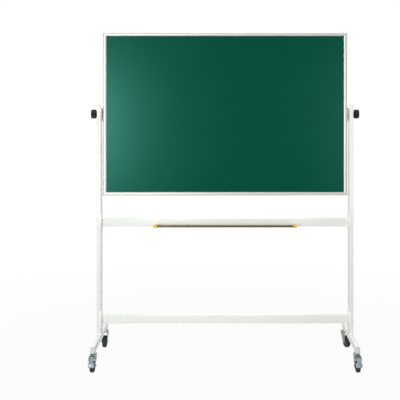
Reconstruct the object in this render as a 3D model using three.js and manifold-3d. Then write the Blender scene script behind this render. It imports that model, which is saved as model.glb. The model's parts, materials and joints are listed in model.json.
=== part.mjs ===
// A two-sided pivoting chalkboard on a mobile stand.
// Millimetres, +Z up, +X to the right as seen from the chalk face, which looks towards -Y.
// The origin is on the floor, at the centre of the stand's footprint.
import * as THREE from 'three';
import { mergeVertices } from 'three/addons/utils/BufferGeometryUtils.js';
import Module from 'manifold-3d';

const wasm = await Module();
wasm.setup();

// Clearances
const fit = 0.3; // between pieces that touch, or that run in each other
const mitreSetback = 0.3; // how far each frame bar stops short of the true mitre

// Board: a core held in the frame's groove, with an enamelled steel sheet glued on each side of it
// between the frame's lips
const boardWidth = 1500;
const boardHeight = 1000;
const pivotHeight = 1500;
const coreThickness = 14;
const sheetThickness = 0.5;
const glueLine = 0.3;

// Frame profile round the board
const frameFace = 20;
const frameDepth = 24;
const frameWall = 1.6;
const frameSide = 14;
const frameCrest = 9;
const frameShoulder = 16; // how far in the dome stays full before it falls to the lip
const coreInset = 7.5;

// Pivot, from the frame outwards to the post
const flangeThickness = 3;
const flangeWidth = 22;
const flangeHeight = 90;
const flangeCorner = 5;
const discThickness = 3.6;
const discDiameter = 80;
const discNotches = 12;
const notchRadius = 4;
const washerThickness = 2.2;
const washerDiameter = 48;
const studDiameter = 10;
const studHeadThickness = 4;
const studInKnob = 24;
const bushDiameter = 18;

// Clamping knob
const knobDiameter = 55;
const knobLength = 38;
const knobNeckDiameter = 30;
const knobNeckLength = 7;
const knobChamfer = 5;
const knobLobes = 8;
const knobFluteDepth = 5;

// Posts
const postWidth = 25;
const postDepth = 60;
const postWall = 1.5;
const postAbovePivot = 51;
const tubeCorner = 3;

// Feet, and the plastic caps of feet and posts
const footWidth = 25;
const footHeight = 40;
const footLength = 500;
const footWall = 2;
const capThickness = 3;
const capRound = 1;
const capInsert = 14;

// Crossbars and their brackets
const barHeight = 50;
const barDepth = 25;
const barWall = 1.5;
const barBelowBoard = 140; // from the board's lower edge down to the upper crossbar
const barAboveFeet = 65; // from the tops of the feet up to the lower crossbar
const bracketPlate = 3;
const bracketHeight = 100;
const bracketFold = 12;
const bracketSetback = 6;
const spigotShow = 12;
const spigotInsert = 60;
const spigotWall = 2;

// Chalk tray on the front of the upper crossbar
const trayLength = 858;
const trayDepth = 65;
const trayWall = 1.8;
const trayLip = 11;
const trayBack = 6;
const trayCorner = 4;
const trayBead = 2.2;
const trayRise = 4;
const trayCapWall = 2;
const trayCapEnd = 4;
const trayCapSleeve = 16;
const trayCapCorner = 6;

// Casters
const casterInset = 30;
const casterHeight = 110;
const casterTrail = 25;
const wheelRadius = 37.5;
const wheelWidth = 25;
const tyreThickness = 9.5;
const tyreShoulder = 3;
const rimThickness = 4;
const rimWidth = 22;
const webThickness = 7;
const hubDiameter = 22;
const axleDiameter = 8;
const axleHeadDiameter = 13;
const axleHeadThickness = 4;
const forkWall = 3;
const forkBend = 6;
const forkCrownLength = 44;
const forkCrownDrop = 14;
const forkEndRadius = 11;
const raceDiameter = 38;
const raceHeight = 8;
const raceRing = 2;
const raceRingInner = 24;
const raceShoulder = 3;
const stemDiameter = 10;
const stemLength = 30;
const kingpinDiameter = 10;
const kingpinHeadDiameter = 18;
const kingpinHeadThickness = 3;
const rearRightSwivel = 17; // degrees that this caster has rolled round, its wheel going outwards

// Brake pedals, curved round the front of the wheel: a paddle, a narrow neck, and a hood between the arms
const pedalPinDiameter = 5;
const pedalPinGap = 6;
const pedalPinAngle = 88;
const pedalPinEnd = 1;
const pedalGap = 12.5;
const pedalThickness = 2.5;
const pedalLow = 6;
const paddleHigh = 39.5;
const paddleWidth = 37;
const paddleCorner = 7;
const neckWidth = 18;
const hoodLow = 53;
const hoodHigh = 70;
const pedalArm = 9;
const pedalCheek = 2;
const camRadius = 9.5;
const shoeGap = 2.5;
const shoeAngle = 12;

// Facets of round shapes
const cornerFacets = 2;
const profileFacets = 3;
const pedalFacets = 4;
const plugFacets = 1;
const boreFacets = 16;
const pinFacets = 12;
const headFacets = 16;
const tyreFacets = 24;
const facetsPerLobe = 5;
const weldDistance = 1e-4;

// Sizes that follow from the ones above
const postGap = flangeThickness + discThickness + washerThickness + 4 * fit;
const postInner = boardWidth / 2 + postGap;
const postOuter = postInner + postWidth;
const postCentre = postInner + postWidth / 2;
const footTop = casterHeight + footHeight;
const postTop = pivotHeight + postAbovePivot;
const barEnd = postInner - fit - bracketPlate - spigotShow;
const upperBarCentre = pivotHeight - boardHeight / 2 - barBelowBoard - barHeight / 2;
const lowerBarCentre = footTop + barAboveFeet + barHeight / 2;
const casterReach = footLength / 2 - casterInset;
const forkInnerWidth = wheelWidth + 2 * forkWall;
const forkWidth = forkInnerWidth + 2 * forkWall;
const studHole = studDiameter / 2 + fit;
const studHeadDiameter = coreThickness; // it lies in the frame's groove, beside the core's edge

const quarterTurn = Math.PI / 2;
const sides = { left: -1, right: 1 };
const ends = { front: -1, rear: 1 };

const finishes = {
  chalkEnamel: { color: 0x044f3c, roughness: 0.5, metalness: 0 },
  markerEnamel: { color: 0xf2f4f4, roughness: 0.15, metalness: 0 },
  coreBoard: { color: 0xb08d62, roughness: 0.9, metalness: 0 },
  anodised: { color: 0xd8d9d4, roughness: 0.4, metalness: 0.9 },
  powderCoat: { color: 0xe9ebe7, roughness: 0.45, metalness: 0 },
  greyPlastic: { color: 0xd9dbd6, roughness: 0.5, metalness: 0 },
  blackPlastic: { color: 0x17181a, roughness: 0.4, metalness: 0 },
  nylon: { color: 0xe6e4da, roughness: 0.5, metalness: 0 },
  zinc: { color: 0xb4b9bd, roughness: 0.35, metalness: 1 },
  bronzeAnodised: { color: 0x6e644b, roughness: 0.4, metalness: 0.8 },
  yellowPlastic: { color: 0xf7b008, roughness: 0.45, metalness: 0 },
  rubber: { color: 0x35373a, roughness: 0.75, metalness: 0 },
  wheelPlastic: { color: 0x8d9094, roughness: 0.5, metalness: 0 },
};

// A shape drawn in local x and y and drawn out along local z, turned to lie along a model axis:
// along x it is drawn in (y, z), along y in (x, z), and along z in (x, y)
const unitX = new THREE.Vector3(1, 0, 0);
const unitY = new THREE.Vector3(0, 1, 0);
const unitZ = new THREE.Vector3(0, 0, 1);
const drawnAlong = {
  x: new THREE.Matrix4().makeBasis(unitY, unitZ, unitX),
  y: new THREE.Matrix4().makeBasis(unitX, unitZ, unitY.clone().negate()),
  z: new THREE.Matrix4(),
};

// The same surface with its shared corners merged and the slivers that leaves taken out
function weld(geometry) {
  const bare = new THREE.BufferGeometry();
  bare.setAttribute('position', geometry.attributes.position);
  bare.setIndex(geometry.index);
  const merged = mergeVertices(bare, weldDistance);
  const corners = Array.from(merged.index.array);
  const kept = [];
  for (let at = 0; at < corners.length; at += 3) {
    const triangle = corners.slice(at, at + 3);
    if (new Set(triangle).size === 3) {
      kept.push(...triangle);
    }
  }
  merged.setIndex(kept);
  return merged;
}

function toSolid(geometry) {
  const welded = weld(geometry);
  return new wasm.Manifold(new wasm.Mesh({
    numProp: 3,
    vertProperties: new Float32Array(welded.attributes.position.array),
    triVerts: new Uint32Array(welded.index.array),
  }));
}

function toGeometry(solid) {
  const mesh = solid.getMesh();
  const geometry = new THREE.BufferGeometry();
  geometry.setAttribute('position', new THREE.BufferAttribute(mesh.vertProperties, 3));
  geometry.setIndex(new THREE.BufferAttribute(mesh.triVerts, 1));
  return geometry;
}

function join(...geometries) {
  return toGeometry(geometries.map(toSolid).reduce((whole, next) => whole.add(next)));
}

function cut(body, ...tools) {
  return toGeometry(tools.map(toSolid).reduce((rest, tool) => rest.subtract(tool), toSolid(body)));
}

function common(first, second) {
  return toGeometry(toSolid(first).intersect(toSolid(second)));
}

// The same piece for the other side of the board, with its faces still pointing out
function mirrored(geometry) {
  const copy = weld(geometry).scale(-1, 1, 1);
  const corners = copy.index.array;
  for (let at = 0; at < corners.length; at += 3) {
    [corners[at], corners[at + 1]] = [corners[at + 1], corners[at]];
  }
  return copy;
}

function forSide(side, geometry) {
  return side < 0 ? mirrored(geometry) : geometry;
}

function addPiece(parent, name, geometry, finish) {
  const mesh = new THREE.Mesh(weld(geometry), new THREE.MeshStandardMaterial(finish));
  mesh.geometry.computeVertexNormals();
  mesh.name = name;
  parent.add(mesh);
}

function extrude(shape, length, axis, facets = cornerFacets) {
  const geometry = new THREE.ExtrudeGeometry(shape, {
    depth: length,
    bevelEnabled: false,
    curveSegments: facets,
  });
  return geometry.translate(0, 0, -length / 2).applyMatrix4(drawnAlong[axis]);
}

// A profile of [radius, height] points turned about a model axis, with height along that axis.
// A phase of half a facet puts a flat of the turned shape at the bottom.
function revolve(profile, axis, facets, phase = 0) {
  const points = profile.map(([radius, height]) => new THREE.Vector2(radius, height));
  const geometry = new THREE.LatheGeometry(points, facets, phase * 2 * Math.PI / facets);
  return axis === 'x' ? geometry.rotateZ(-quarterTurn) : geometry.rotateX(quarterTurn);
}

// A round bar along a model axis, from one place on it to another
function rod(radius, from, to, axis, facets = boreFacets) {
  return revolve([[0, from], [radius, from], [radius, to], [0, to]], axis, facets);
}

function ring(inner, outer, from, to, axis, facets = headFacets) {
  return revolve([[inner, from], [outer, from], [outer, to], [inner, to], [inner, from]], axis, facets);
}

function block(lowX, highX, lowY, highY, lowZ, highZ) {
  const geometry = new THREE.BoxGeometry(highX - lowX, highY - lowY, highZ - lowZ);
  return geometry.translate((lowX + highX) / 2, (lowY + highY) / 2, (lowZ + highZ) / 2);
}

function roundedRect(width, height, radius) {
  const shape = new THREE.Shape();
  const x = width / 2 - radius;
  const y = height / 2 - radius;
  shape.absarc(x, y, radius, 0, quarterTurn);
  shape.absarc(-x, y, radius, quarterTurn, 2 * quarterTurn);
  shape.absarc(-x, -y, radius, 2 * quarterTurn, 3 * quarterTurn);
  shape.absarc(x, -y, radius, 3 * quarterTurn, 4 * quarterTurn);
  shape.closePath();
  return shape;
}

function tubeSection(width, height, wall, corner) {
  const section = roundedRect(width, height, corner);
  section.holes.push(roundedRect(width - 2 * wall, height - 2 * wall, corner / 2));
  return section;
}

// A plastic cap on the end of a tube: a rounded plate on the rim, with a plug that fills the bore.
// The tube ends at z = 0 and lies below it.
function tubeCap(width, height, wall) {
  const plate = new THREE.ExtrudeGeometry(roundedRect(width, height, tubeCorner), {
    depth: capThickness - 2 * capRound,
    bevelThickness: capRound,
    bevelSize: capRound,
    bevelOffset: -capRound,
    bevelSegments: 1,
    curveSegments: cornerFacets,
  });
  plate.translate(0, 0, fit + capRound);
  const bore = 2 * (wall + fit);
  const plugShape = roundedRect(width - bore, height - bore, tubeCorner / 2);
  const plug = extrude(plugShape, capInsert, 'z', plugFacets);
  plug.translate(0, 0, fit + capRound - capInsert / 2);
  return join(plate, plug);
}

// A bar of the board's frame. Its profile is drawn with x from the outer edge inwards and y across the
// board's thickness, domed in front and behind, with a groove for the core. The bar runs along z, with
// mitred ends that draw in by as much as the profile does.
function frameBar(length) {
  const groove = coreThickness / 2 + fit;
  const crown = frameDepth / 2;
  const profile = new THREE.Shape();
  profile.moveTo(0, -frameSide / 2);
  profile.quadraticCurveTo(0, -crown, frameCrest, -crown);
  profile.quadraticCurveTo(frameShoulder, -crown, frameFace, -groove - frameWall);
  profile.lineTo(frameFace, -groove);
  profile.lineTo(frameWall, -groove);
  profile.lineTo(frameWall, groove);
  profile.lineTo(frameFace, groove);
  profile.lineTo(frameFace, groove + frameWall);
  profile.quadraticCurveTo(frameShoulder, crown, frameCrest, crown);
  profile.quadraticCurveTo(0, crown, 0, frameSide / 2);
  profile.closePath();
  const bar = extrude(profile, length, 'z', profileFacets);
  const corner = bar.attributes.position;
  for (let at = 0; at < corner.count; at += 1) {
    const end = Math.sign(corner.getZ(at));
    corner.setZ(at, end * (length / 2 - mitreSetback - corner.getX(at)));
  }
  return bar;
}

function addBoard(parent) {
  const board = new THREE.Group();
  board.position.z = pivotHeight;
  parent.add(board);

  const panel = (inset, thickness) => (
    new THREE.BoxGeometry(boardWidth - 2 * inset, thickness, boardHeight - 2 * inset)
  );
  addPiece(board, 'board_core', panel(coreInset, coreThickness), finishes.coreBoard);
  const sheet = (side) => {
    const centre = side * ((coreThickness + sheetThickness) / 2 + glueLine);
    return panel(frameFace + fit, sheetThickness).translate(0, centre, 0);
  };
  addPiece(board, 'chalk_face', sheet(ends.front), finishes.chalkEnamel);
  addPiece(board, 'marker_face', sheet(ends.rear), finishes.markerEnamel);

  const bars = ['left', 'top', 'right', 'bottom'];
  bars.forEach((name, turn) => {
    const upright = turn % 2 === 0;
    const length = upright ? boardHeight : boardWidth;
    const across = upright ? boardWidth : boardHeight;
    let bar = frameBar(length).translate(-across / 2, 0, 0);
    if (upright) {
      bar = cut(bar, rod(studHole, -across / 2 - frameWall, -across / 2 + 2 * frameWall, 'x'));
    }
    addPiece(board, `frame_${name}`, bar.rotateY(turn * quarterTurn), finishes.anodised);
  });
}

// A disc with round notches in its rim, drawn about its centre
function notchedDisc() {
  const radius = discDiameter / 2;
  const pitch = 2 * Math.PI / discNotches;
  const halfMouth = 2 * Math.asin(notchRadius / (2 * radius));
  const disc = new THREE.Shape();
  for (let notch = 0; notch < discNotches; notch += 1) {
    const angle = notch * pitch;
    const lean = (Math.PI + halfMouth) / 2;
    const x = radius * Math.cos(angle);
    const y = radius * Math.sin(angle);
    disc.absarc(x, y, notchRadius, angle - lean, angle + lean, true);
    const middle = angle + pitch / 2;
    disc.lineTo(radius * Math.cos(middle), radius * Math.sin(middle));
  }
  disc.closePath();
  return disc;
}

// A knob with lobes: a turned shape whose grip is drawn in between the lobes
function lobedKnob() {
  const grip = knobDiameter / 2;
  const bore = studInKnob + fit;
  const profile = [
    [0, bore], [studHole, bore], [studHole, 0], [knobNeckDiameter / 2, 0],
    [knobNeckDiameter / 2, knobNeckLength], [grip - knobChamfer / 2, knobNeckLength],
    [grip, knobNeckLength + knobChamfer / 2], [grip, knobLength - knobChamfer],
    [grip - knobChamfer, knobLength], [0, knobLength],
  ];
  const knob = revolve(profile, 'x', knobLobes * facetsPerLobe);
  const corner = knob.attributes.position;
  for (let at = 0; at < corner.count; at += 1) {
    const y = corner.getY(at);
    const z = corner.getZ(at);
    const radius = Math.hypot(y, z);
    if (radius > knobNeckDiameter / 2 + fit) {
      const between = (1 - Math.cos(knobLobes * Math.atan2(z, y))) / 2;
      const drawnIn = 1 - knobFluteDepth * between / radius;
      corner.setY(at, y * drawnIn);
      corner.setZ(at, z * drawnIn);
    }
  }
  return knob;
}

// Everything on the pivot axis of one side, modelled on the right and mirrored for the left
function addPivot(parent, sideName) {
  const side = sides[sideName];
  const pivot = new THREE.Group();
  pivot.position.z = pivotHeight;
  parent.add(pivot);
  const add = (name, geometry, finish) => {
    addPiece(pivot, `${name}_${sideName}`, forSide(side, geometry), finish);
  };

  const bore = rod(studHole, boardWidth / 2, postInner, 'x');
  const flangeStart = boardWidth / 2 + fit;
  const flange = extrude(roundedRect(flangeWidth, flangeHeight, flangeCorner), flangeThickness, 'x');
  flange.translate(flangeStart + flangeThickness / 2, 0, 0);
  add('pivot_flange', cut(flange, bore), finishes.anodised);

  const discStart = flangeStart + flangeThickness + fit;
  const disc = extrude(notchedDisc(), discThickness, 'x');
  disc.translate(discStart + discThickness / 2, 0, 0);
  add('index_disc', cut(disc, bore), finishes.anodised);

  const washerStart = discStart + discThickness + fit;
  const washerEnd = washerStart + washerThickness;
  add('friction_washer', ring(studHole, washerDiameter / 2, washerStart, washerEnd, 'x'), finishes.nylon);

  const bushStart = postInner + postWall + fit;
  const bushEnd = postOuter - postWall - fit;
  add('pivot_bush', ring(studHole, bushDiameter / 2, bushStart, bushEnd, 'x', boreFacets), finishes.zinc);

  const headEnd = boardWidth / 2 - frameWall - fit;
  const headStart = headEnd - studHeadThickness;
  const knobStart = postOuter + fit;
  const stud = revolve([
    [0, headStart], [studHeadDiameter / 2, headStart], [studHeadDiameter / 2, headEnd],
    [studDiameter / 2, headEnd], [studDiameter / 2, knobStart + studInKnob], [0, knobStart + studInKnob],
  ], 'x', boreFacets);
  add('pivot_stud', stud, finishes.zinc);
  add('knob', lobedKnob().translate(knobStart, 0, 0), finishes.blackPlastic);
}

function addPost(parent, sideName) {
  const side = sides[sideName];
  const length = postTop - footTop - fit;
  const tube = extrude(tubeSection(postWidth, postDepth, postWall, tubeCorner), length, 'z');
  tube.translate(postCentre, 0, footTop + fit + length / 2);
  const bore = rod(studHole, postInner - postWall, postOuter + postWall, 'x');
  const post = cut(tube, bore.translate(0, 0, pivotHeight));
  addPiece(parent, `post_${sideName}`, forSide(side, post), finishes.powderCoat);
  const cap = tubeCap(postWidth, postDepth, postWall).translate(side * postCentre, 0, postTop);
  addPiece(parent, `post_cap_${sideName}`, cap, finishes.greyPlastic);
}

function addFoot(parent, sideName) {
  const side = sides[sideName];
  const foot = new THREE.Group();
  foot.position.set(side * postCentre, 0, casterHeight);
  parent.add(foot);
  const tube = extrude(tubeSection(footWidth, footHeight, footWall, tubeCorner), footLength, 'y');
  tube.translate(0, 0, footHeight / 2);
  const stemHole = (end) => {
    const hole = rod(stemDiameter / 2 + fit, -footWall, 2 * footWall, 'z');
    return hole.translate(0, end * casterReach, 0);
  };
  const drilled = cut(tube, stemHole(ends.front), stemHole(ends.rear));
  addPiece(foot, `foot_${sideName}`, drilled, finishes.powderCoat);
  for (const [endName, end] of Object.entries(ends)) {
    const cap = tubeCap(footWidth, footHeight, footWall).rotateX(-end * quarterTurn);
    cap.translate(0, end * footLength / 2, footHeight / 2);
    addPiece(foot, `foot_cap_${endName}_${sideName}`, cap, finishes.greyPlastic);
  }
}

// A plate on the post's inner side, folded round its front corner, with a spigot that enters the bar.
// Its height zero is the bar's centre line.
function barBracket() {
  const plateOuter = postInner - fit;
  const plateInner = plateOuter - bracketPlate;
  const foldBack = -postDepth / 2 - fit;
  const section = new THREE.Shape();
  section.moveTo(plateInner, postDepth / 2 - bracketSetback);
  section.lineTo(plateInner, foldBack);
  section.absarc(plateOuter, foldBack, bracketPlate, Math.PI, 3 * quarterTurn);
  section.lineTo(postInner + bracketFold, foldBack - bracketPlate);
  section.lineTo(postInner + bracketFold, foldBack);
  section.lineTo(plateOuter, foldBack);
  section.lineTo(plateOuter, postDepth / 2 - bracketSetback);
  section.closePath();
  const spigotLength = bracketPlate + spigotShow + spigotInsert;
  const slack = 2 * (barWall + fit);
  const spigotSection = tubeSection(barDepth - slack, barHeight - slack, spigotWall, tubeCorner / 2);
  const spigot = extrude(spigotSection, spigotLength, 'x', plugFacets);
  spigot.translate(plateOuter - spigotLength / 2, 0, 0);
  return join(extrude(section, bracketHeight, 'z'), spigot);
}

function addCrossbar(parent, level, centre) {
  const section = tubeSection(barDepth, barHeight, barWall, tubeCorner);
  const bar = extrude(section, 2 * barEnd, 'x').translate(0, 0, centre);
  addPiece(parent, `crossbar_${level}`, bar, finishes.powderCoat);
  for (const [sideName, side] of Object.entries(sides)) {
    const bracket = forSide(side, barBracket()).translate(0, 0, centre);
    addPiece(parent, `bracket_${level}_${sideName}`, bracket, finishes.powderCoat);
  }
}

// The tray's channel section in (y, z), with z = 0 at its underside: a flange against the crossbar,
// a floor with a rounded front corner, and a lip that ends in a bead
function traySection(back) {
  const front = back - trayDepth;
  const beadCentre = front + trayBead;
  const beadFoot = Math.acos((trayWall - trayBead) / trayBead);
  const section = new THREE.Shape();
  section.moveTo(back, 0);
  section.lineTo(back, trayBack);
  section.lineTo(back - trayWall, trayBack);
  section.lineTo(back - trayWall, trayWall);
  section.lineTo(front + trayCorner, trayWall);
  section.absarc(front + trayCorner, trayCorner, trayCorner - trayWall, 3 * quarterTurn, Math.PI, true);
  section.absarc(beadCentre, trayLip - trayBead, trayBead, -beadFoot, Math.PI);
  section.absarc(front + trayCorner, trayCorner, trayCorner, Math.PI, 3 * quarterTurn);
  section.closePath();
  return section;
}

// The plastic shoe on the right end of the tray: floor, front wall and end wall round the channel
function trayCap(back) {
  const front = back - trayDepth;
  const openEnd = trayLength / 2 - trayCapSleeve;
  const farEnd = trayLength / 2 + fit + trayCapEnd;
  const lowFront = front - fit - trayCapWall;
  const plan = new THREE.Shape();
  plan.moveTo(openEnd, back);
  plan.lineTo(openEnd, lowFront);
  plan.absarc(farEnd - trayCapCorner, lowFront + trayCapCorner, trayCapCorner, -quarterTurn, 0);
  plan.lineTo(farEnd, back);
  plan.closePath();
  const low = -fit - trayCapWall;
  const high = trayLip + trayCapWall;
  const shoe = extrude(plan, high - low, 'z').translate(0, 0, (low + high) / 2);
  const pocketEnd = trayLength / 2 + fit;
  const pocket = block(openEnd - fit, pocketEnd, front - fit, back + fit, -fit, high + fit);
  return cut(shoe, pocket);
}

function addTray(parent) {
  const tray = new THREE.Group();
  tray.position.z = upperBarCentre - barHeight / 2 + trayRise;
  parent.add(tray);
  const back = -barDepth / 2 - fit;
  const channel = extrude(traySection(back), trayLength, 'x', profileFacets);
  addPiece(tray, 'chalk_tray', channel, finishes.bronzeAnodised);
  for (const [sideName, side] of Object.entries(sides)) {
    addPiece(tray, `tray_cap_${sideName}`, forSide(side, trayCap(back)), finishes.yellowPlastic);
  }
}

// Heights of the caster's swivel, from the foot down
const raceTop = casterHeight - fit;
const raceBottom = raceTop - raceHeight;
const crownTop = raceBottom - fit - raceRing;
const crownBottom = crownTop - forkWall;

// The half that is fixed to the foot: stem, upper race, and the kingpin with its riveted head
function casterHead() {
  const pinBottom = crownBottom - fit;
  const headBottom = pinBottom - kingpinHeadThickness;
  return revolve([
    [0, headBottom], [(kingpinHeadDiameter - kingpinHeadThickness) / 2, headBottom],
    [kingpinHeadDiameter / 2, pinBottom], [kingpinDiameter / 2, pinBottom],
    [kingpinDiameter / 2, raceBottom], [raceDiameter / 2, raceBottom],
    [raceDiameter / 2, raceTop - raceShoulder], [raceDiameter / 2 - raceShoulder, raceTop],
    [stemDiameter / 2, raceTop], [stemDiameter / 2, raceTop + stemLength], [0, raceTop + stemLength],
  ], 'z', headFacets);
}

// The fork as it is pressed: a U seen from the front, trimmed to the leaning legs seen from the side.
// The wheel trails towards -Y.
function casterFork(braked) {
  const half = forkWidth / 2;
  const inner = forkInnerWidth / 2;
  const innerBend = forkBend - forkWall;
  const pressing = new THREE.Shape();
  pressing.moveTo(half, 0);
  pressing.absarc(half - forkBend, crownTop - forkBend, forkBend, 0, quarterTurn);
  pressing.absarc(forkBend - half, crownTop - forkBend, forkBend, quarterTurn, Math.PI);
  pressing.lineTo(-half, 0);
  pressing.lineTo(-inner, 0);
  pressing.absarc(innerBend - inner, crownBottom - innerBend, innerBend, Math.PI, quarterTurn, true);
  pressing.absarc(inner - innerBend, crownBottom - innerBend, innerBend, quarterTurn, 0, true);
  pressing.lineTo(inner, 0);
  pressing.closePath();
  const front = -casterTrail - forkEndRadius;
  const legRise = crownTop - forkCrownDrop - wheelRadius;
  const legRun = forkCrownLength / 2 + casterTrail;
  const tangent = Math.atan2(legRise, legRun) - Math.acos(forkEndRadius / Math.hypot(legRise, legRun));
  const legs = new THREE.Shape();
  legs.moveTo(forkCrownLength / 2, crownTop);
  legs.lineTo(front, crownTop);
  legs.absarc(-casterTrail, wheelRadius, forkEndRadius, Math.PI, 2 * Math.PI + tangent);
  legs.lineTo(forkCrownLength / 2, crownTop - forkCrownDrop);
  legs.closePath();
  const blank = common(
    extrude(pressing, 4 * (forkCrownLength + casterTrail), 'y'),
    extrude(legs, forkWidth + fit, 'x', profileFacets),
  );
  const seatBottom = crownTop - forkWall / 2;
  const seat = ring(raceRingInner / 2, raceDiameter / 2, seatBottom, crownTop + raceRing, 'z');
  const bores = [
    rod(kingpinDiameter / 2 + fit, crownBottom - forkWall, crownTop + forkWall, 'z'),
    rod(axleDiameter / 2 + fit, -forkWidth, forkWidth, 'x', pinFacets)
      .translate(0, -casterTrail, wheelRadius),
  ];
  if (braked) {
    const [pinY, pinZ] = aroundWheel(pedalPinRadius, pedalPinAngle);
    bores.push(rod(pedalPinDiameter / 2 + fit, -forkWidth, forkWidth, 'x', pinFacets)
      .translate(0, pinY, pinZ));
  }
  return cut(join(blank, seat), ...bores);
}

function casterAxle() {
  const grip = forkWidth / 2 + fit;
  const end = grip + axleHeadThickness;
  const head = axleHeadDiameter / 2;
  return revolve([
    [0, -end], [head, -end], [head, -grip], [axleDiameter / 2, -grip],
    [axleDiameter / 2, grip], [head, grip], [head, end], [0, end],
  ], 'x', pinFacets);
}

// Radii that are measured to the flats of the wheel's facets, so that it stands on the floor
const toCorner = 1 / Math.cos(Math.PI / tyreFacets);
const tyreInner = wheelRadius - tyreThickness;

function wheelHub() {
  const rimOuter = (tyreInner - fit) * toCorner;
  const rimInner = rimOuter - rimThickness;
  const boss = hubDiameter / 2;
  const bore = axleDiameter / 2 + fit;
  const reach = forkInnerWidth / 2 - fit;
  const rim = rimWidth / 2;
  const web = webThickness / 2;
  return revolve([
    [bore, -reach], [boss, -reach], [rimInner, -web], [rimInner, -rim], [rimOuter, -rim],
    [rimOuter, rim], [rimInner, rim], [rimInner, web], [boss, reach], [bore, reach], [bore, -reach],
  ], 'x', tyreFacets, 1 / 2);
}

function wheelTyre() {
  const inner = tyreInner * toCorner;
  const tread = wheelRadius * toCorner;
  const half = wheelWidth / 2;
  const chamfer = tyreShoulder / 3;
  return revolve([
    [inner, -half], [tread - tyreShoulder, -half], [tread - chamfer, chamfer - half],
    [tread, tyreShoulder - half], [tread, half - tyreShoulder], [tread - chamfer, half - chamfer],
    [tread - tyreShoulder, half], [inner, half], [inner, -half],
  ], 'x', tyreFacets, 1 / 2);
}

// A place beside the wheel in (y, z): the angle is in degrees, up from straight in front of the axle
function aroundWheel(radius, degrees) {
  const angle = THREE.MathUtils.degToRad(degrees);
  return [-casterTrail - radius * Math.cos(angle), wheelRadius + radius * Math.sin(angle)];
}

// A band round the wheel, drawn in (y, z) between two radii and two angles
function bandAroundWheel(inner, outer, low, high) {
  const from = Math.PI - THREE.MathUtils.degToRad(low);
  const to = Math.PI - THREE.MathUtils.degToRad(high);
  const band = new THREE.Shape();
  band.absarc(-casterTrail, wheelRadius, outer, from, to, true);
  band.absarc(-casterTrail, wheelRadius, inner, to, from);
  band.closePath();
  return band;
}

const pedalPinRadius = wheelRadius + pedalPinGap + pedalPinDiameter / 2;

// The pedal's plate as it is blanked, seen from the front, with the paddle's corners rounded
function pedalBlank(reach) {
  const depth = [-casterTrail - 2 * wheelRadius, -casterTrail];
  const heightAt = (radius, degrees) => aroundWheel(radius, degrees)[1];
  const low = heightAt(reach - pedalThickness, pedalLow);
  const high = heightAt(reach, paddleHigh);
  const shoulder = heightAt(reach - pedalThickness, hoodLow);
  const top = heightAt(reach, hoodHigh);
  const paddle = extrude(roundedRect(paddleWidth, high - low, paddleCorner), 2 * wheelRadius, 'y');
  paddle.translate(0, -casterTrail - wheelRadius, (low + high) / 2);
  return join(
    paddle,
    block(-neckWidth / 2, neckWidth / 2, ...depth, high - paddleCorner, shoulder + fit),
    block(-forkWidth, forkWidth, ...depth, shoulder, top),
  );
}

// A pressed pedal: the plate in front of the wheel, two arms outside the fork, the pin that they turn
// on, the cam on top of it, and the shoe that is forced down on the tyre
function brakePedal() {
  const paddleInner = wheelRadius + pedalGap;
  const paddleOuter = paddleInner + pedalThickness;
  const armInner = forkWidth / 2 + fit;
  const armOuter = armInner + pedalCheek;
  const [pinY, pinZ] = aroundWheel(pedalPinRadius, pedalPinAngle);
  const band = bandAroundWheel(paddleInner, paddleOuter, pedalLow, hoodHigh);
  const plate = common(extrude(band, 2 * armOuter, 'x', pedalFacets), pedalBlank(paddleOuter));
  const arm = bandAroundWheel(paddleOuter - pedalArm, paddleOuter, hoodLow, pedalPinAngle);
  const armAt = (side) => {
    const cheek = extrude(arm, pedalCheek, 'x', profileFacets);
    return cheek.translate(side * (armInner + armOuter) / 2, 0, 0);
  };
  const eye = rod(pedalArm / 2, -armOuter, armOuter, 'x', pinFacets).translate(0, pinY, pinZ);
  const nearPin = [pinY - 2 * pedalArm, pinY + 2 * pedalArm];
  const between = block(-armInner, armInner, ...nearPin, pinZ - pedalArm, pinZ + pedalArm);
  const pin = rod(pedalPinDiameter / 2, -armOuter - pedalPinEnd, armOuter + pedalPinEnd, 'x', pinFacets);
  const shoeBand = bandAroundWheel(
    wheelRadius + shoeGap, pedalPinRadius, pedalPinAngle - shoeAngle, pedalPinAngle,
  );
  const shoeHalf = forkInnerWidth / 2 - fit;
  const shoe = extrude(shoeBand, 2 * shoeHalf, 'x', profileFacets);
  const camRound = rod(camRadius, -shoeHalf, shoeHalf, 'x').translate(0, pinY, pinZ);
  const cam = common(camRound, block(-shoeHalf, shoeHalf, ...nearPin, pinZ, pinZ + 2 * camRadius));
  return join(
    plate,
    armAt(sides.left),
    armAt(sides.right),
    cut(eye, between),
    pin.translate(0, pinY, pinZ),
    cam,
    shoe,
  );
}

function addCaster(parent, endName, sideName) {
  const caster = new THREE.Group();
  caster.position.set(sides[sideName] * postCentre, ends[endName] * casterReach, 0);
  parent.add(caster);
  const braked = endName === 'front';
  if (endName === 'rear' && sideName === 'right') {
    caster.rotation.z = THREE.MathUtils.degToRad(rearRightSwivel);
  }
  const add = (name, geometry, finish) => {
    addPiece(caster, `${name}_${endName}_${sideName}`, geometry, finish);
  };
  add('caster_head', casterHead(), finishes.zinc);
  add('caster_fork', casterFork(braked), finishes.zinc);
  add('axle', casterAxle().translate(0, -casterTrail, wheelRadius), finishes.zinc);
  add('wheel_hub', wheelHub().translate(0, -casterTrail, wheelRadius), finishes.wheelPlastic);
  add('tyre', wheelTyre().translate(0, -casterTrail, wheelRadius), finishes.rubber);
  if (braked) {
    add('brake_pedal', brakePedal(), finishes.zinc);
  }
}

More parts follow.
